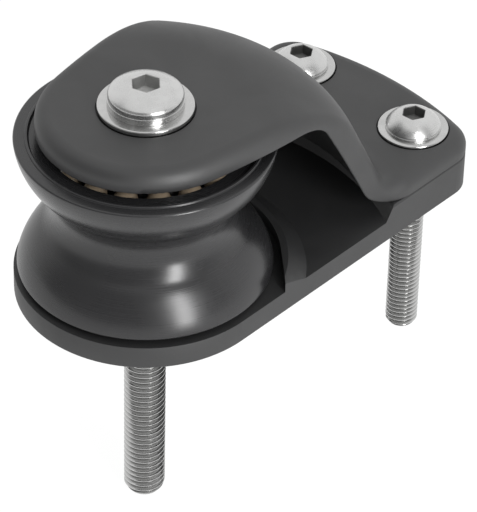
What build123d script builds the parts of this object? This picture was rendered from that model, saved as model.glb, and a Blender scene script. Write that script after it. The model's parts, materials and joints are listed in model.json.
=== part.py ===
from build123d import *
from math import cos, hypot, pi, radians, sin, sqrt, tan
import os

# Deck lead block, in millimetres. The origin is on the deck under the sheave's axis, Z is up,
# and the long axis runs back along +Y from the sheave to the two rear screws.

# Heights, from the deck up
base_t = 6.0
sheave_gap = 1.3
sheave_h = 36.1
cheek_gap = 2.1
cheek_t = 5.2
pedestal_h = 3.6

# Sheave: two round shoulders with a round groove between them
sheave_r = 30.0
shoulder_r = 16.5
shoulder_rise = 20.0
groove_height = 17.5
waist_r = 21.0
sheave_wall = 4.0
rim_w = 3.1
rim_step = 0.5
rim_chamfer = 0.35
sheave_round = 0.8

# Bearing: balls at both ends take the side thrust, two rows of rollers take the load
ball_r = 3.0
ball_gap = 1.3
ball_offset = 4.4
ball_end_gap = 2.1
track_gap = 0.06
roller_r = 2.48
roller_gap = 0.02
bar_space = 1.54
cage_ring_t = 1.2
cage_side_gap = 0.5
cage_end_gap = 0.2
row_gap = 0.3
bar_gap = 0.15
race_gap = 0.4
race_depth = 3.6
recess_depth = 4.8
recess_offset = 0.8
race_rim_offset = 0.5
ball_phase = 1.8
ball_cage_t = 1.0
peg_gap = 0.2
peg_drop = 0.8
hub_bore_gap = 0.25
spigot_step = 2.0
spigot_depth = 1.0
fit_gap = 0.03

# Base plate: round nose, parallel sides, and a rear edge struck from the sheave's axis
base_margin = 0.4
rear_margin = 13.6
corner_r = 8.0
base_edge = 0.4
lip_gap = 1.4
lip_h = 3.0
lip_land = 1.6
lip_slope_w = 4.3
lip_half_angle = 43.0
ramp_w = 2.1
ramp_setback = 2.1

# Cheek: a flat cap that turns down behind the sheave and ends in a foot on the pedestal
cap_setback = 5.0
cheek_inset = 2.4
side_sweep_r = 200.0
knee_offset = 9.0
wall_angle = 65.5
outer_bend_r = 26.0
inner_bend_r = 7.0
foot_under_r = 11.5
foot_top_r = 6.2
cheek_edge_r = 3.5
under_edge_r = 0.4
flare_start = 26.0
flare_end = 14.5

# Rear screws, measured from where the foot becomes flat and from the base's side
rear_setback = 10.9
side_margin = 12.4

# Stainless button heads with washers, let into shallow seats
hole_gap = 0.2
seat_gap = 0.3
hex_land = 0.35
tip_chamfer = 0.9
washer_edge = 0.2
centre = dict(r=5.0, shank_r=4.5, length=115.0, head_r=8.75, head_h=5.5, head_rim=3.1, head_round=1.1,
              hex_af=6.0, hex_depth=3.2, hex_turn=16.0, washer_r=11.05, washer_t=2.0, seat_depth=0.8)
rear = dict(r=4.0, shank_r=3.6, length=60.0, head_r=6.7, head_h=3.9, head_rim=0.9, head_round=0.3,
            hex_af=5.0, hex_depth=2.6, hex_turn=4.0, washer_r=8.5, washer_t=1.6, seat_depth=1.0)

# What follows from the values above
sheave_bottom = base_t + sheave_gap
sheave_top = sheave_bottom + sheave_h
groove_mid = sheave_bottom + groove_height
cheek_under = sheave_top + cheek_gap
cheek_top = cheek_under + cheek_t
pedestal_z = base_t + pedestal_h
foot_top = pedestal_z + cheek_t
bearing_mid = (base_t + cheek_under) / 2
bore_r = waist_r - sheave_wall
hub_r = bore_r - 2 * (roller_r + roller_gap)
spigot_r = hub_r - spigot_step
hub_bore_r = centre["r"] + hub_bore_gap
roller_pitch_r = (bore_r + hub_r) / 2
roller_count = int(2 * pi * roller_pitch_r / (2 * roller_r + bar_space))
ball_pitch_r = bore_r + ball_offset
ball_count = int(2 * pi * ball_pitch_r / (2 * ball_r + ball_gap))
ball_rise = cheek_under - bearing_mid - ball_r - ball_end_gap
track_r = ball_r + track_gap
race_rise = ball_rise - race_depth
recess_rise = ball_rise - recess_depth
recess_r = ball_pitch_r - recess_offset
race_low_r = ball_pitch_r - ball_r
base_half_w = sheave_r + base_margin
lip_r = sheave_r + lip_gap
cap_r = sheave_r - cap_setback
cheek_half_w = base_half_w - cheek_inset
knee_r = sheave_r + knee_offset
heel_r = knee_r + (cheek_under - pedestal_z) / tan(radians(wall_angle))
foot_start_r = heel_r + foot_under_r * tan(radians(wall_angle / 2))
ramp_top_r = foot_start_r - ramp_setback
rear_y = foot_start_r + rear_setback
rear_r = rear_y + rear_margin
rear_x = base_half_w - side_margin
reach = rear_r + rear_margin

os.makedirs("parts", exist_ok=True)


def save(part, name):
    part.label = name
    export_step(part, "parts/" + name + ".step")


# A point at an angle on a circle, in a section where x is the radius and y the height
def on_circle(x, y, r, degrees):
    return (x + r * cos(radians(degrees)), y + r * sin(radians(degrees)))


# The rear end shared by the base and the cheek: side, round corner, then the rear arc
def rear_outline(start):
    corner_x = base_half_w - corner_r
    corner_y = sqrt((rear_r - corner_r) ** 2 - corner_x ** 2)
    side_end = (base_half_w, corner_y)
    arc_start = (corner_x * rear_r / (rear_r - corner_r), corner_y * rear_r / (rear_r - corner_r))
    Line(start, side_end)
    TangentArc(side_end, arc_start, tangent=(0, 1))
    RadiusArc(arc_start, (0, rear_r), -rear_r)


# Base plate with the line guard behind the sheave and the pedestal under the cheek's foot
with BuildPart() as base_plate:
    with BuildSketch(Plane.XZ):
        with BuildLine():
            Polyline(
                (0, 0),
                (0, base_t),
                (lip_r, base_t),
                (lip_r, base_t + lip_h),
                (lip_r + lip_land, base_t + lip_h),
                (lip_r + lip_land + lip_slope_w, base_t),
                (ramp_top_r - ramp_w, base_t),
                (ramp_top_r, pedestal_z),
                (reach, pedestal_z),
                (reach, 0),
                close=True,
            )
        make_face()
    revolve(axis=Axis.Z)
    with BuildSketch():
        with BuildLine():
            CenterArc((0, 0), base_half_w, 270, 90)
            rear_outline((base_half_w, 0))
            mirror(about=Plane.YZ)
        make_face()
    extrude(amount=pedestal_z, mode=Mode.INTERSECT)
    # Beyond its middle stretch the guard's inner wall runs out straight to the sides
    with BuildSketch(Plane.XY.offset(base_t)):
        lip_end = on_circle(0, 0, lip_r, 90 - lip_half_angle)
        run_out = (lip_end[0] + lip_r * cos(radians(lip_half_angle)),
                   lip_end[1] - lip_r * sin(radians(lip_half_angle)))
        with BuildLine():
            Polyline((0, 0), lip_end, run_out, (run_out[0], 0), close=True)
            mirror(about=Plane.YZ)
        make_face()
    extrude(amount=lip_h, mode=Mode.SUBTRACT)
    chamfer(base_plate.faces().sort_by(Axis.Z)[0].outer_wire().edges(), base_edge)
    chamfer(base_plate.faces().sort_by(Axis.Z)[-1].outer_wire().edges(), base_edge)
    with Locations((0, 0, base_t)):
        CounterBoreHole(centre["r"] + hole_gap, spigot_r + fit_gap, spigot_depth)
    with Locations((rear_x, rear_y, pedestal_z), (-rear_x, rear_y, pedestal_z)):
        Hole(rear["r"] + hole_gap)
save(base_plate.part, "base_plate")

# Cheek: the section is turned about the sheave's axis, then cut to the outline
with BuildPart() as top_cheek:
    wall_run = (cheek_under - pedestal_z) / tan(radians(wall_angle))
    wall_shift = cheek_t * tan(radians(wall_angle / 2))
    with BuildSketch(Plane.XZ):
        with BuildLine() as under:
            FilletPolyline(
                (0, cheek_under),
                (knee_r, cheek_under),
                (knee_r + wall_run, pedestal_z),
                (reach, pedestal_z),
                radius=(inner_bend_r, foot_under_r),
            )
        with BuildLine() as over:
            FilletPolyline(
                (0, cheek_top),
                (knee_r + wall_shift, cheek_top),
                (knee_r + wall_shift + wall_run, foot_top),
                (reach, foot_top),
                radius=(outer_bend_r, foot_top_r),
            )
        with BuildLine() as ends:
            Line((0, cheek_under), (0, cheek_top))
            Line((reach, pedestal_z), (reach, foot_top))
        make_face(under.edges() + over.edges() + ends.edges())
    revolve(axis=Axis.Z)
    sweep_y = sqrt((side_sweep_r - cap_r) ** 2 - (side_sweep_r - cheek_half_w) ** 2)
    sweep_share = cap_r / (side_sweep_r - cap_r)
    sweep_start = ((side_sweep_r - cheek_half_w) * sweep_share, -sweep_y * sweep_share)
    flare_in = (cheek_half_w, rear_y - flare_start)
    flare_out = (base_half_w, rear_y - flare_end)
    with BuildSketch():
        with BuildLine():
            RadiusArc((0, -cap_r), sweep_start, -cap_r)
            RadiusArc(sweep_start, (cheek_half_w, sweep_y), -side_sweep_r)
            Line((cheek_half_w, sweep_y), flare_in)
            Spline(flare_in, flare_out, tangents=[(0, 1), (0, 1)])
            rear_outline(flare_out)
            mirror(about=Plane.YZ)
        make_face()
    extrude(amount=cheek_top, mode=Mode.INTERSECT)
    skin = top_cheek.faces().filter_by(lambda face: face.normal_at().Z > 0.1)
    walls = top_cheek.faces().filter_by(lambda face: abs(face.normal_at().Z) < 0.01)
    fillet(skin.edges() & walls.edges(), cheek_edge_r)
    underside = top_cheek.faces().filter_by(lambda face: face.normal_at().Z < -0.1)
    walls = top_cheek.faces().filter_by(lambda face: abs(face.normal_at().Z) < 0.01)
    fillet(underside.edges() & walls.edges(), under_edge_r)
    with BuildSketch(Plane.XY.offset(cheek_under)):
        Circle(spigot_r + fit_gap)
    extrude(amount=spigot_depth, mode=Mode.SUBTRACT)
    with Locations((0, 0, cheek_top)):
        CounterBoreHole(centre["r"] + hole_gap, centre["washer_r"] + seat_gap, centre["seat_depth"])
    with Locations((rear_x, rear_y, foot_top), (-rear_x, rear_y, foot_top)):
        CounterBoreHole(rear["r"] + hole_gap, rear["washer_r"] + seat_gap, rear["seat_depth"])
save(top_cheek.part, "top_cheek")


# A point of the bearing's section. The bearing is the same above (side 1) and below (side -1)
# its middle plane
def section_point(r, rise, side):
    return (r, bearing_mid + side * rise)


# The outer ball track, from the recess's wall round to the track's mouth
def outer_track(side):
    depth = sqrt(track_r ** 2 - recess_offset ** 2)
    return ThreePointArc(
        section_point(recess_r, ball_rise - depth, side),
        section_point(*on_circle(ball_pitch_r, ball_rise, track_r, -45), side),
        section_point(ball_pitch_r + track_r, ball_rise, side),
    )


# Sheave: the tulip section outside, the roller bore and both ball tracks inside
with BuildPart() as sheave:
    shoulder_x = sheave_r - shoulder_r
    waist_reach = waist_r - shoulder_x
    groove_r = (waist_reach ** 2 + shoulder_rise ** 2 - shoulder_r ** 2) / (2 * (shoulder_r - waist_reach))
    flank_run = waist_reach + groove_r
    flank_share = shoulder_r / (shoulder_r + groove_r)
    flank = (flank_share * flank_run, flank_share * shoulder_rise)
    top_x = shoulder_x + sqrt(shoulder_r ** 2 - (sheave_top - groove_mid - shoulder_rise) ** 2)
    bottom_x = shoulder_x + sqrt(shoulder_r ** 2 - (groove_mid - shoulder_rise - sheave_bottom) ** 2)
    upper_flank = (shoulder_x + flank[0], groove_mid + shoulder_rise - flank[1])
    lower_flank = (shoulder_x + flank[0], groove_mid - shoulder_rise + flank[1])
    mouth_rise = sheave_top - rim_step - bearing_mid
    mouth_r = ball_pitch_r + sqrt(track_r ** 2 - (mouth_rise - ball_rise) ** 2)
    with BuildSketch(Plane.XZ):
        with BuildLine():
            upper_track = outer_track(1)
            lower_track = outer_track(-1)
            Polyline(
                lower_track @ 0,
                section_point(recess_r, recess_rise, -1),
                section_point(bore_r, recess_rise, -1),
                section_point(bore_r, recess_rise, 1),
                section_point(recess_r, recess_rise, 1),
                upper_track @ 0,
            )
            # The upper track closes in over the balls, up to its mouth in the recessed top
            lip = ThreePointArc(
                upper_track @ 1,
                section_point(*on_circle(ball_pitch_r, ball_rise, track_r, 30), 1),
                section_point(mouth_r, mouth_rise, 1),
            )
            Polyline(
                lip @ 1,
                (sheave_r - rim_w, sheave_top - rim_step),
                (sheave_r - rim_w, sheave_top),
                (top_x, sheave_top),
            )
            RadiusArc((top_x, sheave_top), upper_flank, shoulder_r)
            ThreePointArc(upper_flank, (waist_r, groove_mid), lower_flank)
            RadiusArc(lower_flank, (bottom_x, sheave_bottom), shoulder_r)
            Polyline((bottom_x, sheave_bottom), (ball_pitch_r + track_r, sheave_bottom), lower_track @ 1)
        make_face()
    revolve(axis=Axis.Z)
    rings = sheave.edges().filter_by(GeomType.CIRCLE).group_by(Axis.Z)
    chamfer(rings[-1], rim_chamfer)
    fillet(rings[0].sort_by(SortBy.RADIUS)[-1], sheave_round)
save(sheave.part, "sheave")

# Hub: the fixed inner sleeve that the rollers run on, clamped between base and cheek
with BuildPart() as bearing_hub:
    hub_half_h = cheek_under - bearing_mid + spigot_depth
    with BuildSketch(Plane.XZ):
        with BuildLine():
            Polyline(
                section_point(hub_bore_r, hub_half_h, -1),
                section_point(spigot_r, hub_half_h, -1),
                section_point(spigot_r, race_rise, -1),
                section_point(hub_r, race_rise, -1),
                section_point(hub_r, race_rise, 1),
                section_point(spigot_r, race_rise, 1),
                section_point(spigot_r, hub_half_h, 1),
                section_point(hub_bore_r, hub_half_h, 1),
                close=True,
            )
        make_face()
    revolve(axis=Axis.Z)
save(bearing_hub.part, "bearing_hub")


# A ball race on the hub's spigot, clamped against the hub's shoulder
def build_race(name, side):
    rim_r = ball_pitch_r - race_rim_offset
    low_rise = ball_rise - sqrt(track_r ** 2 - (ball_pitch_r - race_low_r) ** 2)
    rim_rise = ball_rise + sqrt(track_r ** 2 - race_rim_offset ** 2)
    end_rise = cheek_under - bearing_mid
    with BuildPart() as race:
        with BuildSketch(Plane.XZ):
            with BuildLine():
                groove = ThreePointArc(
                    section_point(race_low_r, low_rise, side),
                    section_point(*on_circle(ball_pitch_r, ball_rise, track_r, 135), side),
                    section_point(rim_r, rim_rise, side),
                )
                Polyline(
                    groove @ 1,
                    section_point(rim_r, end_rise, side),
                    section_point(spigot_r + fit_gap, end_rise, side),
                    section_point(spigot_r + fit_gap, race_rise, side),
                    section_point(race_low_r, race_rise, side),
                    groove @ 0,
                )
            make_face()
        revolve(axis=Axis.Z)
    save(race.part, name)


# The loose balls of one end
def build_balls(name, side):
    with BuildPart(Plane.XY.offset(bearing_mid + side * ball_rise)) as balls:
        with PolarLocations(ball_pitch_r, ball_count, start_angle=ball_phase):
            Sphere(ball_r)
    save(balls.part, name)


# The ring that keeps the balls apart, with a peg in each space between two of them
def build_ball_cage(name, side):
    in_r = race_low_r + race_gap
    out_r = recess_r - race_gap
    peg_pitch_r = (in_r + out_r) / 2
    half_step = pi / ball_count
    peg_to_ball = hypot(ball_pitch_r * cos(half_step) - peg_pitch_r, ball_pitch_r * sin(half_step))
    peg_r = peg_to_ball - ball_r - peg_gap
    ring_z = bearing_mid + side * (recess_rise + race_gap)
    peg_z = ring_z + side * ball_cage_t
    peg_h = ball_rise - peg_drop - recess_rise - race_gap - ball_cage_t
    with BuildPart() as cage:
        with BuildSketch(Plane.XY.offset(ring_z)):
            Circle(out_r)
            Circle(in_r, mode=Mode.SUBTRACT)
        extrude(amount=side * ball_cage_t)
        with BuildSketch(Plane.XY.offset(peg_z)):
            with PolarLocations(peg_pitch_r, ball_count, start_angle=ball_phase + 180 / ball_count):
                Circle(peg_r)
        extrude(amount=side * peg_h)
    save(cage.part, name)


# One row of rollers, and its cage: two rings joined by a bar between each pair of rollers
def build_roller_row(row, side):
    inner_rise = row_gap / 2
    outer_rise = race_rise - race_gap
    roller_rise = inner_rise + cage_ring_t + cage_end_gap
    roller_h = outer_rise - cage_ring_t - cage_end_gap - roller_rise
    bar_r = roller_pitch_r * sin(pi / roller_count) - roller_r - bar_gap
    with BuildPart() as rollers:
        with BuildSketch(Plane.XY.offset(bearing_mid + side * roller_rise)):
            with PolarLocations(roller_pitch_r, roller_count):
                Circle(roller_r)
        extrude(amount=side * roller_h)
    save(rollers.part, row + "_rollers")
    with BuildPart() as cage:
        for ring_rise in (inner_rise, outer_rise - cage_ring_t):
            with BuildSketch(Plane.XY.offset(bearing_mid + side * ring_rise)):
                Circle(bore_r - cage_side_gap)
                Circle(hub_r + cage_side_gap, mode=Mode.SUBTRACT)
            extrude(amount=side * cage_ring_t)
        with BuildSketch(Plane.XY.offset(bearing_mid + side * inner_rise)):
            with PolarLocations(roller_pitch_r, roller_count, start_angle=180 / roller_count):
                Circle(bar_r)
        extrude(amount=side * (outer_rise - inner_rise))
    save(cage.part, row + "_roller_cage")


for row, side in (("upper", 1), ("lower", -1)):
    build_race(row + "_race", side)
    build_balls(row + "_balls", side)
    build_ball_cage(row + "_ball_cage", side)
    build_roller_row(row, side)


# A flat washer in its seat
def build_washer(name, spec, x, y, seat_z):
    with BuildPart() as washer:
        with BuildSketch(Plane.XY.offset(seat_z)):
            with Locations((x, y)):
                Circle(spec["washer_r"])
                Circle(spec["r"] + hole_gap, mode=Mode.SUBTRACT)
        extrude(amount=spec["washer_t"])
        chamfer(washer.faces().sort_by(Axis.Z)[-1].outer_wire().edges(), washer_edge)
    save(washer.part, name)


# A button-head screw. The head is a round-shouldered rim under part of a sphere, with a hexagon
# socket.
# The plain shank inside the block is slimmer than the thread, which starts at the deck face
def build_screw(name, spec, x, y, under_head):
    flat_r = spec["hex_af"] / 2 / cos(radians(30)) + hex_land
    tip = under_head - spec["length"]
    rim_z = under_head + spec["head_rim"]
    head_top = under_head + spec["head_h"]
    dome_z = (flat_r ** 2 - spec["head_r"] ** 2 + head_top ** 2 - rim_z ** 2) / (2 * (head_top - rim_z))
    dome_r = hypot(spec["head_r"], rim_z - dome_z)
    with BuildPart() as screw:
        with BuildSketch(Plane(origin=(x, y, 0), x_dir=(1, 0, 0), z_dir=(0, -1, 0))):
            with BuildLine():
                dome = RadiusArc((spec["head_r"], rim_z), (flat_r, head_top), -dome_r)
                Polyline(
                    dome @ 1,
                    (0, head_top),
                    (0, tip),
                    (spec["r"] - tip_chamfer, tip),
                    (spec["r"], tip + tip_chamfer),
                    (spec["r"], 0),
                    (spec["shank_r"], 0),
                    (spec["shank_r"], under_head),
                    (spec["head_r"], under_head),
                    dome @ 0,
                )
            make_face()
        revolve(axis=Axis((x, y, 0), (0, 0, 1)))
        rings = screw.edges().filter_by(lambda edge: edge.is_closed).sort_by(SortBy.RADIUS)
        fillet(rings[-2:].sort_by(Axis.Z)[-1], spec["head_round"])
        with BuildSketch(Plane.XY.offset(head_top)):
            with Locations((x, y)):
                RegularPolygon(spec["hex_af"] / 2, 6, major_radius=False, rotation=spec["hex_turn"])
        extrude(amount=-spec["hex_depth"], mode=Mode.SUBTRACT)
    save(screw.part, name)


for name, spec, x, y, face_z in (
    ("centre", centre, 0, 0, cheek_top),
    ("right_rear", rear, rear_x, rear_y, foot_top),
    ("left_rear", rear, -rear_x, rear_y, foot_top),
):
    seat_z = face_z - spec["seat_depth"]
    build_washer(name + "_washer", spec, x, y, seat_z)
    build_screw(name + "_screw", spec, x, y, seat_z + spec["washer_t"])
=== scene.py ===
import json
import math

import bmesh
import bpy
import numpy as np
from mathutils import Matrix, Vector


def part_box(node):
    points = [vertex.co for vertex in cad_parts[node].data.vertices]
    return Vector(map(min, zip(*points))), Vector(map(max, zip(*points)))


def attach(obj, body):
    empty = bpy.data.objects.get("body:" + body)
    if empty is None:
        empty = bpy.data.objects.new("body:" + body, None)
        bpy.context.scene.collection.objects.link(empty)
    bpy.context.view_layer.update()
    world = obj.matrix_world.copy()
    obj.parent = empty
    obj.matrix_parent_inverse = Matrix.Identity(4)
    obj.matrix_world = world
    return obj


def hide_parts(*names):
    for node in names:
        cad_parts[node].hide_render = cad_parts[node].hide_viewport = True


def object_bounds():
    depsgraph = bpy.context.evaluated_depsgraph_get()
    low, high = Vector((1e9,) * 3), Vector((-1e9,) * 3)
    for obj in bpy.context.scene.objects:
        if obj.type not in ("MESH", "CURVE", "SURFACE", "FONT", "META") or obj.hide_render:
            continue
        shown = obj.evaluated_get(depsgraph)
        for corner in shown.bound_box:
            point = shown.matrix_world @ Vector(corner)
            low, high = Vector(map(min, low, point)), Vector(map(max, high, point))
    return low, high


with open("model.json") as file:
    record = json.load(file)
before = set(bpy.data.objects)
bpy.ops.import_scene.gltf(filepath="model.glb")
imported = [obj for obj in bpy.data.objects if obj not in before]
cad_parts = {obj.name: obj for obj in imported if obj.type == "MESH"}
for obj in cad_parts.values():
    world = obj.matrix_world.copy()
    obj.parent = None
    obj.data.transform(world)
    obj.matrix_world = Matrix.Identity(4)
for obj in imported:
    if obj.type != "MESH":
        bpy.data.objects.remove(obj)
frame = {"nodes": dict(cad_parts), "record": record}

mm = 0.001                       # pieces are given in millimetres and degrees, the scene is in metres
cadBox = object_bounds()
nodes = frame["nodes"]
mounts = {mount["name"]: mount for mount in frame["record"]["mounts"]}
print("frame loaded,", len(nodes), "nodes")


def boxOf(node):
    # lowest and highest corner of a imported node, in millimetres
    low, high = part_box(node)
    return np.array(low) / mm, np.array(high) / mm


# Shader building blocks. Nodes are made by kind, and their sockets set by name: n0, n1 and so on are
# sockets by number, and Size_mm is the socket "Size mm".

def setSockets(tree, node, **sockets):
    # a socket gets a link where the value is another node's output, and else a plain value
    for name, value in sockets.items():
        socket = node.inputs[int(name[1:]) if name[1:].isdigit() else name.replace("_", " ")]
        if isinstance(value, bpy.types.NodeSocket):
            tree.links.new(value, socket)
        else:
            socket.default_value = value
    return node


def addNode(tree, kind, settings=None, **sockets):
    node = tree.nodes.new("ShaderNode" + kind)
    for name, value in (settings or {}).items():
        setattr(node, name, value)
    return setSockets(tree, node, **sockets)


def calc(tree, operation, first, second=0.0, third=0.0):
    # one step of arithmetic on sockets or numbers
    return addNode(tree, "Math", {"operation": operation}, n0=first, n1=second, n2=third).outputs[0]


def remap(tree, value, fromLow, fromHigh, toLow, toHigh):
    node = addNode(tree, "MapRange", None, Value=value, From_Min=fromLow, From_Max=fromHigh,
                   To_Min=toLow, To_Max=toHigh)
    return node.outputs[0]


def splitRadius(tree, vector):
    # the distance from the vertical axis, sqrt(x^2 + y^2), and the height
    x, y, z = addNode(tree, "SeparateXYZ", None, Vector=vector).outputs
    squares = calc(tree, "MULTIPLY_ADD", x, x, calc(tree, "MULTIPLY", y, y))
    return calc(tree, "SQRT", squares), z


def mixColors(tree, share, first, second):
    # the first colour where share is 0, the second where it is 1
    return addNode(tree, "Mix", {"data_type": "RGBA"}, n0=share, n6=first, n7=second).outputs[2]


def newGroup(name, inputs, outputs):
    # a shader group. An input with no value is a vector, any other is a number
    tree = bpy.data.node_groups.new(name, "ShaderNodeTree")
    for label, value in inputs.items():
        kind = "NodeSocketVector" if value is None else "NodeSocketFloat"
        socket = tree.interface.new_socket(name=label, in_out="INPUT", socket_type=kind)
        if value is not None:
            socket.default_value = value
    for label in outputs:
        tree.interface.new_socket(name=label, in_out="OUTPUT", socket_type="NodeSocketFloat")
    return tree, tree.nodes.new("NodeGroupInput").outputs, tree.nodes.new("NodeGroupOutput")


def useGroup(tree, group, **sockets):
    return addNode(tree, "Group", {"node_tree": group}, **sockets).outputs


def perMetre(tree, size):
    # the noise scale for features of a size in millimetres
    return calc(tree, "DIVIDE", 1 / mm, size)


grainForm = {
    "size": 0.25, "fineness": 2.7, "coarseShare": 0.6, "fineShare": 0.4, "low": 0.35, "high": 0.65,
}


def makeBlastedGrain():
    # the fine pitted skin of blasted and anodised aluminium: two sizes of noise laid over each other
    tree, inside, outside = newGroup("blastedGrain", {"Vector": None, "Size mm": grainForm["size"]},
                                     ["Height", "Tone"])
    density = perMetre(tree, inside["Size mm"])
    coarse = addNode(tree, "TexNoise", None, Vector=inside["Vector"], Scale=density, Detail=2.0,
                     Roughness=0.6)
    fine = addNode(tree, "TexNoise", None, Vector=inside["Vector"], Detail=1.0,
                   Scale=calc(tree, "MULTIPLY", density, grainForm["fineness"]))
    height = calc(tree, "MULTIPLY", fine.outputs[0], grainForm["fineShare"])
    height = calc(tree, "MULTIPLY_ADD", coarse.outputs[0], grainForm["coarseShare"], height)
    tone = remap(tree, height, grainForm["low"], grainForm["high"], -1.0, 1.0)
    setSockets(tree, outside, Height=height, Tone=tone)
    return tree


markForm = {"pitch": 0.2, "low": 0.3, "high": 0.7}


def makeTurnedMarks():
    # lathe marks: noise that knows only the radius and the height, so it runs round the axis in rings
    tree, inside, outside = newGroup("turnedMarks", {"Vector": None, "Pitch mm": markForm["pitch"]},
                                     ["Height", "Tone"])
    radius, height = splitRadius(tree, inside["Vector"])
    rings = addNode(tree, "CombineXYZ", None, X=radius, Y=0.0, Z=height)
    lines = addNode(tree, "TexNoise", None, Vector=rings.outputs[0], Detail=3.0, Roughness=0.7,
                    Scale=perMetre(tree, inside["Pitch mm"]))
    tone = remap(tree, lines.outputs[0], markForm["low"], markForm["high"], -1.0, 1.0)
    setSockets(tree, outside, Height=lines.outputs[0], Tone=tone)
    return tree


handlingForm = {
    "smudgeSize": 14.0, "low": 0.35, "high": 0.65,
    "speckSize": 1.1, "speckCore": 0.05, "speckEdge": 0.09, "speckRarity": 0.93,
}


def makeHandling():
    # what hands and a shelf leave: broad smudges, and a few pale specks of dust
    form = handlingForm
    tree, inside, outside = newGroup("handling", {"Vector": None, "Smudge mm": form["smudgeSize"],
                                                  "Speck mm": form["speckSize"]}, ["Smudge", "Speck"])
    broad = addNode(tree, "TexNoise", None, Vector=inside["Vector"], Detail=4.0, Roughness=0.55,
                    Scale=perMetre(tree, inside["Smudge mm"]), Distortion=0.6)
    cells = addNode(tree, "TexVoronoi", None, Vector=inside["Vector"],
                    Scale=perMetre(tree, inside["Speck mm"])).outputs
    dots = remap(tree, cells["Distance"], form["speckCore"], form["speckEdge"], 1.0, 0.0)
    draw = addNode(tree, "SeparateColor", None, Color=cells["Color"]).outputs[0]
    chosen = calc(tree, "GREATER_THAN", draw, form["speckRarity"])
    setSockets(tree, outside, Speck=calc(tree, "MULTIPLY", dots, chosen),
               Smudge=remap(tree, broad.outputs[0], form["low"], form["high"], -1.0, 1.0))
    return tree


hairlineForm = {
    "width": 0.06, "turns": (12.0, 74.0, 131.0), "tilt": (0.3, 0.2, 1.0), "stretch": (1.0, 0.03, 0.25),
    "low": 0.62, "high": 0.72,
}


def makeHairlines():
    # short fine scratches in three directions, each a noise drawn out along one line
    form = hairlineForm
    tree, inside, outside = newGroup("hairlines", {"Vector": None, "Width mm": form["width"]},
                                     ["Lines", "Height"])
    density = perMetre(tree, inside["Width mm"])
    total = 0.0
    for turn in form["turns"]:
        rotation = [math.radians(turn * share) for share in form["tilt"]]
        turned = addNode(tree, "Mapping", None, Vector=inside["Vector"], Rotation=rotation,
                         Scale=form["stretch"])
        drawn = addNode(tree, "TexNoise", None, Vector=turned.outputs[0], Scale=density, Detail=0.0)
        lines = remap(tree, drawn.outputs[0], form["low"], form["high"], 0.0, 1.0)
        total = calc(tree, "ADD", lines, total)
    setSockets(tree, outside, Lines=total, Height=calc(tree, "MULTIPLY", total, -1.0))
    return tree


blastedGrain = makeBlastedGrain()
turnedMarks = makeTurnedMarks()
handling = makeHandling()
hairlines = makeHairlines()
print("surface effects ready")


def newMaterial(name):
    # a material, its tree and its shader, and the object coordinates that its patterns read
    material = bpy.data.materials.new(name)
    material.use_nodes = True
    tree = material.node_tree
    return material, tree, tree.nodes["Principled BSDF"], addNode(tree, "TexCoord").outputs["Object"]


def tint(tree, color, amount, strength):
    # a base colour that gets lighter and darker by strength as amount runs from -1 to 1
    light = remap(tree, amount, -1.0, 1.0, 1.0 - strength, 1.0 + strength)
    return addNode(tree, "VectorMath", {"operation": "SCALE"}, n0=color, Scale=light).outputs[0]


def vary(tree, amount, strength, level):
    # a level that goes up and down by strength as amount runs from -1 to 1
    return calc(tree, "MULTIPLY_ADD", amount, strength, level)


def bump(tree, height, depth):
    # depth is the relief's real depth in millimetres
    return addNode(tree, "Bump", None, Strength=1.0, Distance=depth * mm, Height=height).outputs[0]


blackFinish = {
    "color": (0.0215, 0.0217, 0.0222), "plateColor": (0.018, 0.0182, 0.0187), "ior": 1.66,
    "roughness": 0.54, "grainRoughness": 0.03, "grainSize": 0.22, "grainDepth": 0.012, "grainTone": 0.10,
    "smudge": 0.035, "speck": 0.10, "dust": (0.5, 0.5, 0.48, 1.0),
}


def makeBlack(name, color):
    # matt black anodised aluminium
    form = blackFinish
    material, tree, shader, place = newMaterial(name)
    grain = useGroup(tree, blastedGrain, Vector=place, Size_mm=form["grainSize"])
    hands = useGroup(tree, handling, Vector=place)
    base = tint(tree, color, grain["Tone"], form["grainTone"])
    dusty = mixColors(tree, calc(tree, "MULTIPLY", hands["Speck"], form["speck"]), base, form["dust"])
    rough = vary(tree, hands["Smudge"], form["smudge"], form["roughness"])
    rough = vary(tree, grain["Tone"], form["grainRoughness"], rough)
    setSockets(tree, shader, Base_Color=dusty, Roughness=rough, IOR=form["ior"],
               Normal=bump(tree, grain["Height"], form["grainDepth"]))
    return material


sheaveFinish = {
    "color": (0.018, 0.018, 0.019), "ior": 1.56, "roughness": 0.28, "lineRoughness": 0.03,
    "linePitch": 0.18, "lineDepth": 0.0009, "lineTone": 0.06, "smudge": 0.03,
}


def makeSheaveBlack(name):
    # black anodising over a turned surface: glossier than the plates, with faint rings
    form = sheaveFinish
    material, tree, shader, place = newMaterial(name)
    marks = useGroup(tree, turnedMarks, Vector=place, Pitch_mm=form["linePitch"])
    hands = useGroup(tree, handling, Vector=place)
    rough = vary(tree, hands["Smudge"], form["smudge"], form["roughness"])
    rough = vary(tree, marks["Tone"], form["lineRoughness"], rough)
    setSockets(tree, shader, Base_Color=tint(tree, form["color"], marks["Tone"], form["lineTone"]),
               Roughness=rough, IOR=form["ior"], Normal=bump(tree, marks["Height"], form["lineDepth"]))
    return material


steelFinish = {
    # the two socket colours are the steel painted darker, as painted shade inside the hex sockets, and
    # darkest in the rear screws' sockets
    "color": (0.59, 0.59, 0.585), "washerColor": (0.53, 0.53, 0.525), "socketPaintedShadeColor": (0.52, 0.52, 0.515),
    "rearSocketPaintedShadeColor": (0.24, 0.24, 0.237), "rootShadeAndGrime": (0.2, 0.2, 0.196), "headRoughness": 0.27,
    "washerRoughness": 0.14, "threadRoughness": 0.24, "socketRoughness": 0.42, "smudgeSize": 4.0,
    "smudge": 0.05, "smudgeTone": 0.05, "threadSmudgeSize": 3.0, "threadSmudge": 0.06,
    "lineRoughness": 0.08, "lineDepth": 0.0015,
}


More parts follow.
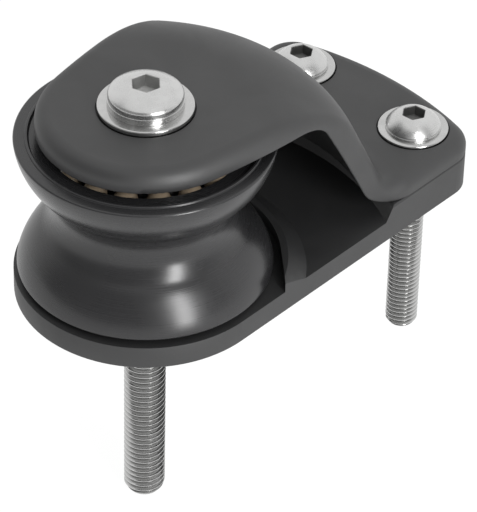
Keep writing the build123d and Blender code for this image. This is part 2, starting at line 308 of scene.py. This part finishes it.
def makeSteel(name, roughness, color):
    # stainless steel, tumbled smooth, with hairline scratches
    form = steelFinish
    material, tree, shader, place = newMaterial(name)
    lines = useGroup(tree, hairlines, Vector=place)
    hands = useGroup(tree, handling, Vector=place, Smudge_mm=form["smudgeSize"])
    rough = vary(tree, hands["Smudge"], form["smudge"], form[roughness])
    rough = vary(tree, lines["Lines"], form["lineRoughness"], rough)
    setSockets(tree, shader, Base_Color=tint(tree, form[color], hands["Smudge"], form["smudgeTone"]),
               Roughness=rough, Metallic=1.0, Normal=bump(tree, lines["Height"], form["lineDepth"]))
    return material


def makeThreadSteel(name, centre, rootR, crestR):
    # rolled thread: the roots are painted dark, partly as grime and partly as painted shade in the
    # thread's hollows, and the crests keep the steel's colour
    form = steelFinish
    material, tree, shader, place = newMaterial(name)
    toAxis = (-centre[0] * mm, -centre[1] * mm, 0.0)
    shifted = addNode(tree, "Mapping", None, Vector=place, Location=toAxis)
    radius = splitRadius(tree, shifted.outputs[0])[0]
    crest = remap(tree, radius, rootR * mm, crestR * mm, 0.0, 1.0)
    hands = useGroup(tree, handling, Vector=place, Smudge_mm=form["threadSmudgeSize"])
    setSockets(tree, shader, Metallic=1.0,
               # the base colour runs from painted root shade with grime at the root radius to plain steel
               # at the crest radius
               Base_Color=mixColors(tree, crest, (*form["rootShadeAndGrime"], 1.0), (*form["color"], 1.0)),
               Roughness=vary(tree, hands["Smudge"], form["threadSmudge"], form["threadRoughness"]))
    return material


plainFinish = {
    "grainSize": 0.4, "grainTone": 0.08, "smudgeSize": 5.0, "smudge": 0.06,
    "raceSteel": {"color": (0.6, 0.6, 0.6), "roughness": 0.25, "metallic": 1.0, "grainDepth": 0.002},
    "hubAlloy": {"color": (0.42, 0.42, 0.43), "roughness": 0.4, "metallic": 1.0, "grainDepth": 0.003},
    "bearingTan": {"color": (0.26, 0.205, 0.145), "roughness": 0.16, "metallic": 0.0, "grainDepth": 0.001},
    "cageBlack": {"color": (0.022, 0.022, 0.022), "roughness": 0.5, "metallic": 0.0, "grainDepth": 0.006},
}


def makePlain(name):
    # the parts that hardly show: moulded polymer, ground steel, hub alloy
    form, own = plainFinish, plainFinish[name]
    material, tree, shader, place = newMaterial(name)
    grain = useGroup(tree, blastedGrain, Vector=place, Size_mm=form["grainSize"])
    hands = useGroup(tree, handling, Vector=place, Smudge_mm=form["smudgeSize"])
    setSockets(tree, shader, Base_Color=tint(tree, own["color"], grain["Tone"], form["grainTone"]),
               Roughness=vary(tree, hands["Smudge"], form["smudge"], own["roughness"]),
               Metallic=own["metallic"], Normal=bump(tree, grain["Height"], own["grainDepth"]))
    return material


finishes = {
    "cheekBlack": makeBlack("cheekBlack", blackFinish["color"]),
    "plateBlack": makeBlack("plateBlack", blackFinish["plateColor"]),
    "sheaveBlack": makeSheaveBlack("sheaveBlack"),
    "headSteel": makeSteel("headSteel", "headRoughness", "color"),
    # the two socket finishes carry painted shade: the head steel darkened inside the sockets
    "socketPaintedShadeSteel": makeSteel("socketPaintedShadeSteel", "socketRoughness", "socketPaintedShadeColor"),
    "rearSocketPaintedShadeSteel": makeSteel("rearSocketPaintedShadeSteel", "socketRoughness", "rearSocketPaintedShadeColor"),
    "washerSteel": makeSteel("washerSteel", "washerRoughness", "washerColor"),
}
for name in ("raceSteel", "hubAlloy", "bearingTan", "cageBlack"):
    finishes[name] = makePlain(name)
print("finishes ready,", len(finishes))

nodeFinish = {
    "base_plate": "plateBlack", "top_cheek": "cheekBlack", "sheave": "sheaveBlack",
    "bearing_hub": "hubAlloy", "upper_race": "raceSteel", "lower_race": "raceSteel",
    "upper_balls": "bearingTan", "lower_balls": "bearingTan",
    "upper_rollers": "bearingTan", "lower_rollers": "bearingTan",
    "upper_ball_cage": "cageBlack", "lower_ball_cage": "cageBlack",
    "upper_roller_cage": "cageBlack", "lower_roller_cage": "cageBlack",
}
for node, finish in nodeFinish.items():
    nodes[node].data.materials.clear()
    nodes[node].data.materials.append(finishes[finish])
print("packed nodes dressed,", len(nodeFinish))

# Machined edges are never knife sharp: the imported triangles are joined, then their edges rounded
softEdges = {"base_plate": 0.3, "top_cheek": 0.25}
softening = {"joinBelow": 0.001, "steps": 3, "angle": 28.0}
for node, width in softEdges.items():
    joined = nodes[node].modifiers.new("joined", "WELD")
    joined.merge_threshold = softening["joinBelow"] * mm
    rounded = nodes[node].modifiers.new("roundedEdges", "BEVEL")
    rounded.width = width * mm
    rounded.segments = softening["steps"]
    rounded.limit_method = "ANGLE"
    rounded.angle_limit = math.radians(softening["angle"])
    rounded.use_clamp_overlap = True
    rounded.harden_normals = False
print("edges rounded,", len(softEdges))


# Surfaces. A piece is one or more grids of points, whose edges meet and are merged.

meshing = {"joinBelow": 0.0002, "dropBelow": 0.00001, "sharpAngle": 28.0}


def gridFaces(rows, columns, start):
    # quads between neighbouring points of a rows by columns grid, counted from start
    first = start + (np.arange(rows - 1)[:, None] * columns + np.arange(columns - 1)).ravel()
    return np.stack([first, first + 1, first + columns + 1, first + columns], 1)


def putPiece(name, grids, gridMaterials, body, replaced):
    faces, start, tags = [], 0, []
    for index, grid in enumerate(grids):
        rows, columns = grid.shape[:2]
        faces.append(gridFaces(rows, columns, start))
        tags.append(np.full(len(faces[-1]), index))
        start += rows * columns
    points = np.concatenate([grid.reshape(-1, 3) for grid in grids]) * mm
    mesh = bpy.data.meshes.new(name)
    mesh.from_pydata(points, [], np.concatenate(faces))
    mesh.polygons.foreach_set("material_index", np.concatenate(tags).astype(np.int32))
    for material in gridMaterials:
        mesh.materials.append(material)
    shape = bmesh.new()
    shape.from_mesh(mesh)
    bmesh.ops.remove_doubles(shape, verts=shape.verts, dist=meshing["joinBelow"] * mm)
    bmesh.ops.dissolve_degenerate(shape, edges=shape.edges, dist=meshing["dropBelow"] * mm)
    shape.to_mesh(mesh)
    shape.free()
    mesh.shade_smooth()
    mesh.set_sharp_from_angle(angle=math.radians(meshing["sharpAngle"]))
    piece = bpy.data.objects.new(name, mesh)
    bpy.context.scene.collection.objects.link(piece)
    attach(piece, body)
    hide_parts(replaced)
    print(name, len(mesh.polygons), "faces")


def roundedProfile(corners, steps):
    # (radius, height, fillet) corners joined by straight runs, each fillet an arc of steps pieces.
    # the arc's middle lies on the corner's bisector, fillet / sin(half the corner's angle) away
    corners = np.array(corners, float)
    made = [corners[0, :2]]
    for before, here, after in zip(corners[:-2], corners[1:-1], corners[2:]):
        fillet = here[2]
        if fillet == 0:
            made.append(here[:2])
            continue
        toBefore = (before - here)[:2] / np.hypot(*(before - here)[:2])
        toAfter = (after - here)[:2] / np.hypot(*(after - here)[:2])
        inward = (toBefore + toAfter) / np.hypot(*(toBefore + toAfter))
        half = math.acos(np.clip(toBefore @ toAfter, -1, 1)) / 2
        middle = here[:2] + inward * fillet / math.sin(half)
        share = np.linspace(0, 1, steps + 1)[:, None]
        onChord = (toBefore * (1 - share) + toAfter * share) * fillet / math.tan(half) + here[:2] - middle
        made.extend(middle + onChord / np.hypot(onChord[:, 0], onChord[:, 1])[:, None] * fillet)
    made.append(corners[-1, :2])
    return np.array(made)


def carry(radius, height, angles, centre):
    # points at a radius and height, both given by row and angle, round the axis through centre
    return np.stack([centre[0] + radius * np.cos(angles), centre[1] + radius * np.sin(angles), height], 2)


def spin(profile, angles, centre):
    # each profile point (radius, height) carried round the axis through centre
    radius, height = np.array(profile).T[:, :, None] + 0 * angles
    return carry(radius, height, angles, centre)


def turnOf(columns, start=0.0):
    # angles once round from start, with the first repeated at the end
    return start + np.linspace(0, 2 * np.pi, columns + 1)


sheaveForm = {
    "outerR": 30.0, "shoulderR": 18.0, "shoulderRise": 20.2, "grooveHeight": 17.5, "waistR": 21.0,
    "footRound": 0.8, "footBlend": 1.6, "browBlend": 1.2, "rimRound": 0.45, "landDrop": 0.1,
    # the ring that stands inside the rim's land
    "stepR": 27.3, "stepHeight": 0.4, "stepLean": 0.08, "ringWidth": 0.7, "ringSlope": 0.35,
    "ringFoot": 0.02, "stepRound": 0.1, "crownRound": 0.22, "ringRound": 0.12,
    # ball tracks and roller bore
    "bearingMid": 25.75, "ballPitchR": 21.4, "ballRise": 14.65, "trackR": 3.06, "mouthR": 23.1,
    "recessR": 20.6, "recessRise": 9.85, "boreR": 17.0,
    "columns": 192, "steps": {"foot": 8, "shoulder": 24, "groove": 28, "rim": 6, "high": 20, "low": 12},
}


def arc(centre, radius, start, end, steps):
    # points on a circle from one angle to the other
    angles = np.linspace(start, end, steps + 1)
    return np.stack([centre[0] + radius * np.cos(angles), centre[1] + radius * np.sin(angles)], 1)


def sheaveOutside(form, bottom, landZ):
    # foot, lower shoulder, groove and upper shoulder. The groove's arc touches both shoulders, so its
    # radius follows from the waist: (reach^2 + rise^2 - shoulder^2) / 2 / (shoulder - reach)
    middle, rise, shoulderR = bottom + form["grooveHeight"], form["shoulderRise"], form["shoulderR"]
    shoulderX = form["outerR"] - shoulderR
    reach = form["waistR"] - shoulderX
    grooveR = (reach ** 2 + rise ** 2 - shoulderR ** 2) / 2 / (shoulderR - reach)
    flank = math.atan2(rise, reach + grooveR)
    steps = form["steps"]

    def onShoulder(side, z):
        # radius and angle at a height on the lower (-1) or upper (1) shoulder's circle
        climb = z - middle - side * rise
        return shoulderX + math.sqrt(shoulderR ** 2 - climb ** 2), math.asin(climb / shoulderR)

    footZ = bottom + form["footBlend"]
    footR, footAngle = onShoulder(-1, footZ)
    browAngle = onShoulder(1, landZ - form["browBlend"])[1]
    return np.concatenate([
        roundedProfile([(form["ballPitchR"] + form["trackR"], bottom, 0),
                        (onShoulder(-1, bottom)[0], bottom, form["footRound"]), (footR, footZ, 0)],
                       steps["foot"]),
        arc((shoulderX, middle - rise), shoulderR, footAngle, flank, steps["shoulder"])[1:],
        arc((shoulderX + reach + grooveR, middle), grooveR, math.pi + flank, math.pi - flank,
            steps["groove"])[1:],
        arc((shoulderX, middle + rise), shoulderR, -flank, browAngle, steps["shoulder"])[1:],
    ]), onShoulder(1, landZ)[0]


def sheaveProfile(form, bottom, top):
    # once round the section: the outside, the rim's land and its raised inner ring, the upper ball
    # track, the roller bore and the lower track. A track is a circle about the balls' pitch circle
    landZ = top - form["landDrop"]
    ringZ, ringR = landZ + form["stepHeight"], form["stepR"] - form["ringWidth"]
    outside, rimR = sheaveOutside(form, bottom, landZ)
    pitchR, trackR, mid, steps = form["ballPitchR"], form["trackR"], form["bearingMid"], form["steps"]
    high, low = (pitchR, mid + form["ballRise"]), (pitchR, mid - form["ballRise"])
    mouth = math.acos((form["mouthR"] - pitchR) / trackR)
    recess = math.acos((form["recessR"] - pitchR) / trackR)
    mouthZ = high[1] + trackR * math.sin(mouth)
    bore = [(form[key], mid + side * form["recessRise"])
            for key, side in (("recessR", 1), ("boreR", 1), ("boreR", -1), ("recessR", -1))]
    return np.concatenate([
        outside,
        roundedProfile([(*outside[-1], 0), (rimR, landZ, form["rimRound"]),
                        (form["stepR"], landZ, form["stepRound"]),
                        (form["stepR"] - form["stepLean"], ringZ, form["crownRound"]),
                        (ringR, ringZ, form["ringRound"]),
                        (ringR - form["ringSlope"], mouthZ + form["ringFoot"], form["ringRound"]),
                        (form["mouthR"], mouthZ, 0)], steps["rim"])[1:],
        arc(high, trackR, mouth, -recess, steps["high"])[1:],
        bore,
        arc(low, trackR, recess, 0, steps["low"]),
        [(pitchR + trackR, bottom)],
    ])


low, high = boxOf("sheave")
putPiece("sheave_turning",
         [spin(sheaveProfile(sheaveForm, low[2], high[2]), turnOf(sheaveForm["columns"]), (0.0, 0.0))],
         [finishes["sheaveBlack"]], "sheave", "sheave")
print("sheave ready")

threadForm = {
    "depth": 0.6134, "crest": 0.125, "root": 0.25,       # all in pitches
    "crestGap": 0.03, "tipInset": 0.12, "tipSlope": 0.7, "runOutTurns": 1.5,
    "top": 4.0,                                          # where it runs out, inside the plate
    "samples": 8, "columns": 96,
}


def threadGrid(centre, angles, crestR, pitch, tip, top, shankR):
    # a helix: along a line of constant phase the height climbs by one pitch per turn, and the radius
    # follows the 60 degree form by phase. It tapers to a cone at the tip and to the shank at the top
    form, samples = threadForm, threadForm["samples"]
    rootR = crestR - form["depth"] * pitch
    tipR = rootR - form["tipInset"]
    rowCount = int(math.ceil((top - tip + pitch) / pitch * samples)) + 1
    start = tip - pitch + np.arange(rowCount)[:, None] * pitch / samples
    height = start + pitch * (angles - angles[0]) / (2 * np.pi)
    phase = np.abs((start / pitch) % 1 - 0.5) * 2
    slope = np.clip((phase - form["crest"]) / (1 - form["root"] - form["crest"]), 0, 1)
    radius = crestR - (crestR - rootR) * slope + 0 * height
    height = np.clip(height, tip, top)
    radius = np.minimum(radius, tipR + (height - tip) * form["tipSlope"])
    runOut = np.clip((top - height) / (form["runOutTurns"] * pitch), 0, 1)
    return carry(shankR + (radius - shankR) * runOut, height, angles, centre), tipR


screws = {
    # each screw's socket finish is painted shade, darker for the rear screws
    "centre": {"pitch": 1.5, "flange": 1.55, "flangeStep": 0.15, "rim": 3.1, "round": 1.1,
               "hexAcross": 6.0, "hexDepth": 3.2, "hexTurn": 16.0, "rise": 5.5, "shankR": 4.5,
               "socket": "socketPaintedShadeSteel"},
    "right_rear": {"pitch": 1.25, "flange": 0.5, "flangeStep": 0.1, "rim": 0.9, "round": 0.25,
                   "hexAcross": 5.0, "hexDepth": 2.6, "hexTurn": 4.0, "rise": 3.9, "shankR": 3.6,
                   "socket": "rearSocketPaintedShadeSteel"},
}
screws["left_rear"] = dict(screws["right_rear"])

headForm = {
    "land": 0.35, "landEdge": 0.12, "edgeRound": 0.12, "flangeRound": 0.08, "flangeLift": 0.02,
    "stepRound": 0.03, "roundShare": 0.9, "steps": 6, "domeSteps": 20,
}


def headProfile(spec, headR, under, top):
    # a low flange, the rim, a rounded shoulder, then part of a sphere up to the flat round the socket.
    # the sphere's middle is on the axis, as far from the rim's corner as from the flat's edge
    form = headForm
    flatR = spec["hexAcross"] / 2 / math.cos(math.pi / 6) + form["land"]
    rimR, rimZ = headR - spec["flangeStep"], under + spec["rim"]
    domeZ = (flatR ** 2 - rimR ** 2 + top ** 2 - rimZ ** 2) / (2 * (top - rimZ))
    domeR = math.hypot(rimR, rimZ - domeZ)
    start = math.acos(rimR / domeR) + form["roundShare"] * spec["round"] / domeR
    over = arc((0.0, domeZ), domeR, start, math.acos(flatR / domeR), form["domeSteps"])
    flangeZ = under + spec["flange"]
    sides = roundedProfile([(spec["shankR"], under, 0), (headR, under, form["edgeRound"]),
                            (headR, flangeZ, form["flangeRound"]),
                            (rimR, flangeZ + form["flangeLift"], form["stepRound"]),
                            (rimR, rimZ, spec["round"]), (*over[0], 0)], form["steps"])
    return np.concatenate([sides, over[1:], [(flatR - form["landEdge"], top)]])


socketForm = {"chamfer": 0.15, "drill": 0.86, "drillEnd": 0.25, "coneDepth": 0.7, "tipDepth": 0.75}


def socketGrid(spec, centre, angles, top):
    # the hexagon's radius at an angle is half its width divided by the cosine of the angle from the
    # nearest flat. Below the hexagon lies the cone that the drill left
    form = socketForm
    fromCorner = (angles - math.radians(spec["hexTurn"]) + math.pi / 6) % (math.pi / 3) - math.pi / 6
    hexagon = spec["hexAcross"] / 2 / np.cos(math.pi / 6 - np.abs(fromCorner))
    circle = np.full(angles.shape, spec["hexAcross"] / 2)
    bottom = top - spec["hexDepth"]
    radius = np.array([hexagon + form["chamfer"], hexagon, hexagon, circle * form["drill"],
                       circle * form["drillEnd"], circle * 0])
    height = np.array([top, top - form["chamfer"], bottom, bottom, bottom - form["coneDepth"],
                       bottom - form["tipDepth"]])[:, None] + 0 * radius
    return carry(radius, height, angles, centre)


for name, spec in screws.items():
    low, high = boxOf(name + "_screw")
    centre = (low + high)[:2] / 2
    headR, shankR, pitch = (high - low)[0] / 2, spec["shankR"], spec["pitch"]
    crestR = mounts[name + "_stud"]["dims"]["r_mm"] - threadForm["crestGap"]
    tip, top, under = low[2], high[2], high[2] - spec["rise"]
    angles = turnOf(threadForm["columns"], math.radians(spec["hexTurn"]))
    thread, tipR = threadGrid(centre, angles, crestR, pitch, tip, threadForm["top"], shankR)
    tipCap = spin([(0.0, tip), (tipR / 2, tip), (tipR, tip)], angles, centre)
    shank = spin([(shankR, threadForm["top"]), (shankR, under)], angles, centre)
    head = spin(headProfile(spec, headR, under, top), angles, centre)
    socket = socketGrid(spec, centre, angles, top)
    land = np.stack([head[-1], socket[0]])               # the flat from the head to the socket
    steel = finishes["headSteel"]
    rolled = makeThreadSteel(name + "ThreadSteel", centre, crestR - threadForm["depth"] * pitch, crestR)
    putPiece(name + "_screw_body", [tipCap, thread, shank, head, land, socket],
             [steel, rolled, steel, steel, steel, finishes[spec["socket"]]],
             "block_frame", name + "_screw")
print("screws ready")

washerForm = {
    "boreGap": 0.2, "edge": 0.35, "boreEdge": 0.15, "bottomEdge": 0.2, "steps": 4, "columns": 96,
}
for name in screws:
    low, high = boxOf(name + "_washer")
    centre, outerR = (low + high)[:2] / 2, (high - low)[0] / 2
    boreR = mounts[name + "_stud"]["dims"]["r_mm"] + washerForm["boreGap"]
    middle = (boreR + outerR) / 2
    profile = roundedProfile([(middle, low[2], 0), (outerR, low[2], washerForm["bottomEdge"]),
                              (outerR, high[2], washerForm["edge"]),
                              (boreR, high[2], washerForm["boreEdge"]),
                              (boreR, low[2], washerForm["boreEdge"]), (middle, low[2], 0)],
                             washerForm["steps"])
    putPiece(name + "_washer_ring", [spin(profile, turnOf(washerForm["columns"]), centre)],
             [finishes["washerSteel"]], "block_frame", name + "_washer")
print("washers ready")


# Studio: a pale floor in a white tent that is dim on the camera's side, and a soft lamp beside it.
# Places and distances here are in metres, and angles in degrees.

studio = {
    "aim": (0.0, 0.0, 0.022), "dimAzimuth": 28.0, "dimSide": 112.0, "dimSideSoft": 45.0, "dimTop": 60.0,
    "dimTopSoft": 14.0, "dimLevel": 0.31, "openLevel": 1.0, "floorShade": 0.10, "floorGlow": 1.06,
    "floorPaint": (0.85, 0.85, 0.85, 1.0), "floorReach": 3.0, "floorGap": 0.0001,
}
lamps = {
    "sideLamp": {"azimuth": 76.5, "elevation": 18.0, "distance": 0.60, "width": 0.13, "height": 0.50,
                 "radiance": 16.5},
}
white = (1.0, 1.0, 1.0, 1.0)


def direction(azimuth, elevation):
    # unit vector towards a place seen at azimuth (0 is -Y, 90 is +X) and elevation
    a, e = math.radians(azimuth), math.radians(elevation)
    return Vector((math.sin(a) * math.cos(e), -math.cos(a) * math.cos(e), math.sin(e)))


def smoothRamp(tree, value, start, end):
    # 0 at start, 1 at end, with soft ends
    node = addNode(tree, "MapRange", {"interpolation_type": "SMOOTHSTEP"}, Value=value, From_Min=start,
                   From_Max=end)
    return node.outputs[0]


def makeWorld():
    # the tent's light by direction: dim in a wide patch of sky towards the camera's side, open elsewhere
    world = bpy.data.worlds.new("studioLight")
    world.use_nodes = True
    tree = world.node_tree
    tree.nodes.clear()
    sky = addNode(tree, "TexCoord").outputs["Generated"]
    x, y, z = addNode(tree, "SeparateXYZ", None, Vector=sky).outputs
    flat = addNode(tree, "CombineXYZ", None, X=x, Y=y, Z=0.0)
    flat = addNode(tree, "VectorMath", {"operation": "NORMALIZE"}, n0=flat.outputs[0])
    facing = addNode(tree, "VectorMath", {"operation": "DOT_PRODUCT"}, n0=flat.outputs[0],
                     n1=direction(studio["dimAzimuth"], 0.0))
    sideways = smoothRamp(tree, facing.outputs["Value"], math.cos(math.radians(studio["dimSide"])),
                          math.cos(math.radians(studio["dimSide"] - studio["dimSideSoft"])))
    upwards = smoothRamp(tree, z, math.sin(math.radians(studio["dimTop"])),
                         math.sin(math.radians(studio["dimTop"] - studio["dimTopSoft"])))
    soft = remap(tree, calc(tree, "MULTIPLY", sideways, upwards), 0.0, 1.0, studio["openLevel"],
                 studio["dimLevel"])
    light = addNode(tree, "Background", None, Color=white, Strength=soft)
    seen = addNode(tree, "Background", None, Color=white, Strength=1.0)
    mixed = addNode(tree, "MixShader", None, n0=addNode(tree, "LightPath").outputs["Is Camera Ray"],
                    n1=light.outputs[0], n2=seen.outputs[0])
    addNode(tree, "OutputWorld", None, Surface=mixed.outputs[0])
    bpy.context.scene.world = world


def makeFloor():
    # white to the camera and in reflections, with a share of plain paint that holds the shadow
    material = bpy.data.materials.new("floorWhite")
    material.use_nodes = True
    tree = material.node_tree
    tree.nodes.clear()
    rays = addNode(tree, "LightPath").outputs
    seen = calc(tree, "MAXIMUM", rays["Is Camera Ray"], rays["Is Glossy Ray"])
    seen = calc(tree, "MAXIMUM", seen, rays["Is Transmission Ray"])
    paint = addNode(tree, "BsdfDiffuse", None, Color=studio["floorPaint"])
    glow = addNode(tree, "Emission", None, Color=white, Strength=studio["floorGlow"])
    share = calc(tree, "MULTIPLY", seen, 1.0 - studio["floorShade"])
    mixed = addNode(tree, "MixShader", None, n0=share, n1=paint.outputs[0], n2=glow.outputs[0])
    addNode(tree, "OutputMaterial", None, Surface=mixed.outputs[0])
    half, level = studio["floorReach"], cadBox[0].z - studio["floorGap"]
    mesh = bpy.data.meshes.new("floor")
    corners = [(-half, -half, level), (half, -half, level), (half, half, level), (-half, half, level)]
    mesh.from_pydata(corners, [], [(0, 1, 2, 3)])
    mesh.materials.append(material)
    floor = bpy.data.objects.new("floor", mesh)
    bpy.context.scene.collection.objects.link(floor)


def addLamp(name, spec):
    # a rectangular lamp that faces the block. Its power is its radiance times pi times its area
    light = bpy.data.lights.new(name, "AREA")
    light.shape = "RECTANGLE"
    light.size, light.size_y = spec["width"], spec["height"]
    light.energy = spec["radiance"] * math.pi * spec["width"] * spec["height"]
    lamp = bpy.data.objects.new(name, light)
    away = direction(spec["azimuth"], spec["elevation"])
    lamp.location = Vector(studio["aim"]) + away * spec["distance"]
    lamp.rotation_mode = "QUATERNION"
    lamp.rotation_quaternion = away.to_track_quat("Z", "Y")
    bpy.context.scene.collection.objects.link(lamp)


makeWorld()
makeFloor()
for name, spec in lamps.items():
    addLamp(name, spec)
print("studio ready")

view = {
    "azimuth": 41.684, "elevation": 38.945, "roll": 1.457, "distance": 0.77825,
    "target": (0.025266, 0.003954, 0.020), "focalPixels": 3453.15, "tallSide": 512, "sensor": 36.0,
    "nearest": 0.01, "farthest": 20.0,
}


def makeCamera():
    # the focal length in pixels, times the sensor's size for each pixel of the picture's longer side
    camera = bpy.data.cameras.new("camera")
    camera.sensor_width = view["sensor"]
    camera.lens = view["focalPixels"] * view["sensor"] / view["tallSide"]
    camera.clip_start, camera.clip_end = view["nearest"], view["farthest"]
    back = direction(view["azimuth"], view["elevation"])
    level = direction(view["azimuth"] + 90.0, 0.0)
    right = Matrix.Rotation(math.radians(view["roll"]), 3, back) @ level
    turned = Matrix((right, back.cross(right), back)).transposed().to_4x4()
    held = bpy.data.objects.new("camera", camera)
    held.matrix_world = Matrix.Translation(Vector(view["target"]) + back * view["distance"]) @ turned
    bpy.context.scene.collection.objects.link(held)
    bpy.context.scene.camera = held


makeCamera()
bpy.context.scene.view_settings.view_transform = "Standard"
print("camera ready")

bpy.context.view_layer.update()
